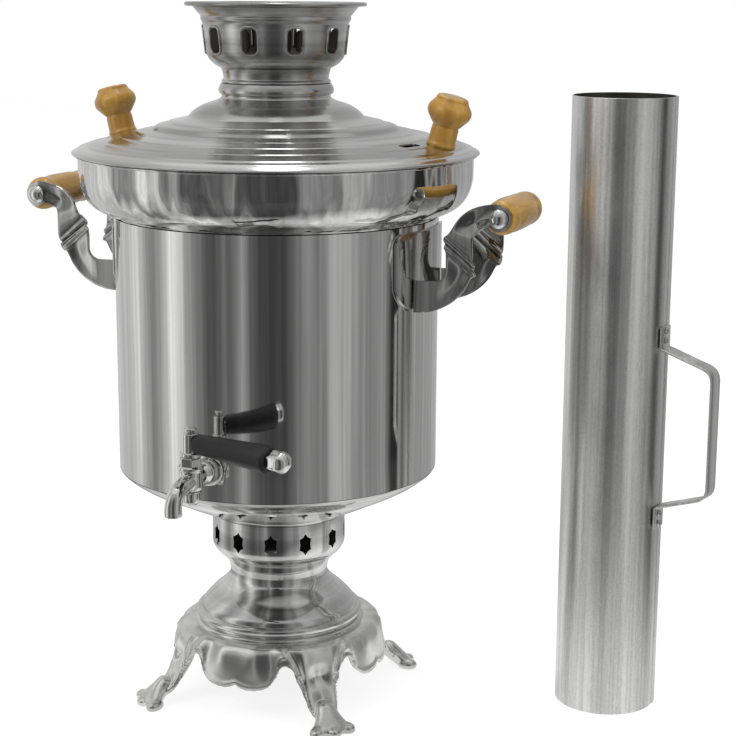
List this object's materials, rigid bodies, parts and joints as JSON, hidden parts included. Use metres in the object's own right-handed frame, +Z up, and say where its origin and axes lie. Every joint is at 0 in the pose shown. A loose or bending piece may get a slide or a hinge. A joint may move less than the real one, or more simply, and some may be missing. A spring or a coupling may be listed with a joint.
{
  "type": "charcoal samovar with draught pipe",
  "caption": "Polished charcoal samovar on a footed base, with a lever tap, carrying handles, a lift-off lid and teapot crown, and its separate draught pipe with a strap handle.",
  "frame": {"origin": "centre of the bounding box of samovar and pipe, on the floor", "axes": "+Z up; the tap points to -Y; the handles lie along X, and the draught pipe stands on the +X side"},
  "size_m": [0.4962, 0.3164, 0.5026],
  "materials": {
    "polished_sheet": "mirror-polished spun sheet",
    "cast_base": "polished casting",
    "tap_metal": "bright plated",
    "small_steel": "plain steel fasteners",
    "flue_sheet": "plain sheet",
    "pipe_sheet": "galvanised sheet with a fine grain",
    "grate_iron": "dark cast iron",
    "turned_wood": "varnished light wood",
    "lever_black": "satin black",
    "seal_rubber": "soft rubber"
  },
  "bodies": {
    "samovar": {"pedestal_bell": "polished_sheet", "vent_collar": "polished_sheet", "tank_dish": "polished_sheet", "tank_wall": "polished_sheet", "rim_pan": "polished_sheet", "handle_plate_left": "polished_sheet", "handle_plate_right": "polished_sheet", "handle_arm_left_front": "polished_sheet", "handle_arm_left_rear": "polished_sheet", "handle_arm_right_front": "polished_sheet", "handle_arm_right_rear": "polished_sheet", "base_casting": "cast_base", "tap_body": "tap_metal", "tap_rose": "tap_metal", "handle_nut_left_front": "tap_metal", "handle_nut_left_rear": "tap_metal", "handle_nut_right_front": "tap_metal", "handle_nut_right_rear": "tap_metal", "base_screw_1": "small_steel", "base_screw_2": "small_steel", "base_screw_3": "small_steel", "base_screw_4": "small_steel", "tap_lock_nut": "small_steel", "handle_rod_left": "small_steel", "handle_rod_right": "small_steel", "flue_tube": "flue_sheet", "fire_grate": "grate_iron", "handle_grip_left": "turned_wood", "handle_grip_right": "turned_wood", "tap_gasket": "seal_rubber"},
    "tap_key": {"tap_plug": "tap_metal", "tap_lever": "lever_black", "tap_lever_ball": "tap_metal", "tap_cap_nut": "tap_metal", "tap_tail_washer": "tap_metal", "tap_tail_nut": "tap_metal"},
    "lid": {"lid_shell": "polished_sheet", "lid_knob_left": "turned_wood", "lid_knob_right": "turned_wood", "lid_knob_screw_left": "small_steel", "lid_knob_screw_right": "small_steel", "lid_knob_washer_left": "small_steel", "lid_knob_washer_right": "small_steel"},
    "crown": {"crown_body": "polished_sheet", "crown_plate": "polished_sheet"},
    "draught_pipe": {"pipe_tube": "pipe_sheet", "pipe_handle": "pipe_sheet", "pipe_rivet_1": "small_steel", "pipe_rivet_2": "small_steel", "pipe_rivet_3": "small_steel", "pipe_rivet_4": "small_steel"}
  },
  "joints": [
    {"name": "tap_key_turn", "type": "hinge", "parent": "samovar", "child": "tap_key", "pos_m": [-0.06094, -0.12631, 0.196], "axis": [0, 0, -1], "range_deg": [0, 73]},
    {"name": "lid_lift", "type": "slide", "parent": "samovar", "child": "lid", "axis": [0, 0, 1], "range_m": [0, 0.15]},
    {"name": "crown_lift", "type": "slide", "parent": "lid", "child": "crown", "axis": [0, 0, 1], "range_m": [0, 0.1]},
    {"name": "pipe_lift", "type": "slide", "parent": "samovar", "child": "draught_pipe", "axis": [0, 0, 1], "range_m": [0, 0.3]}
  ]
}
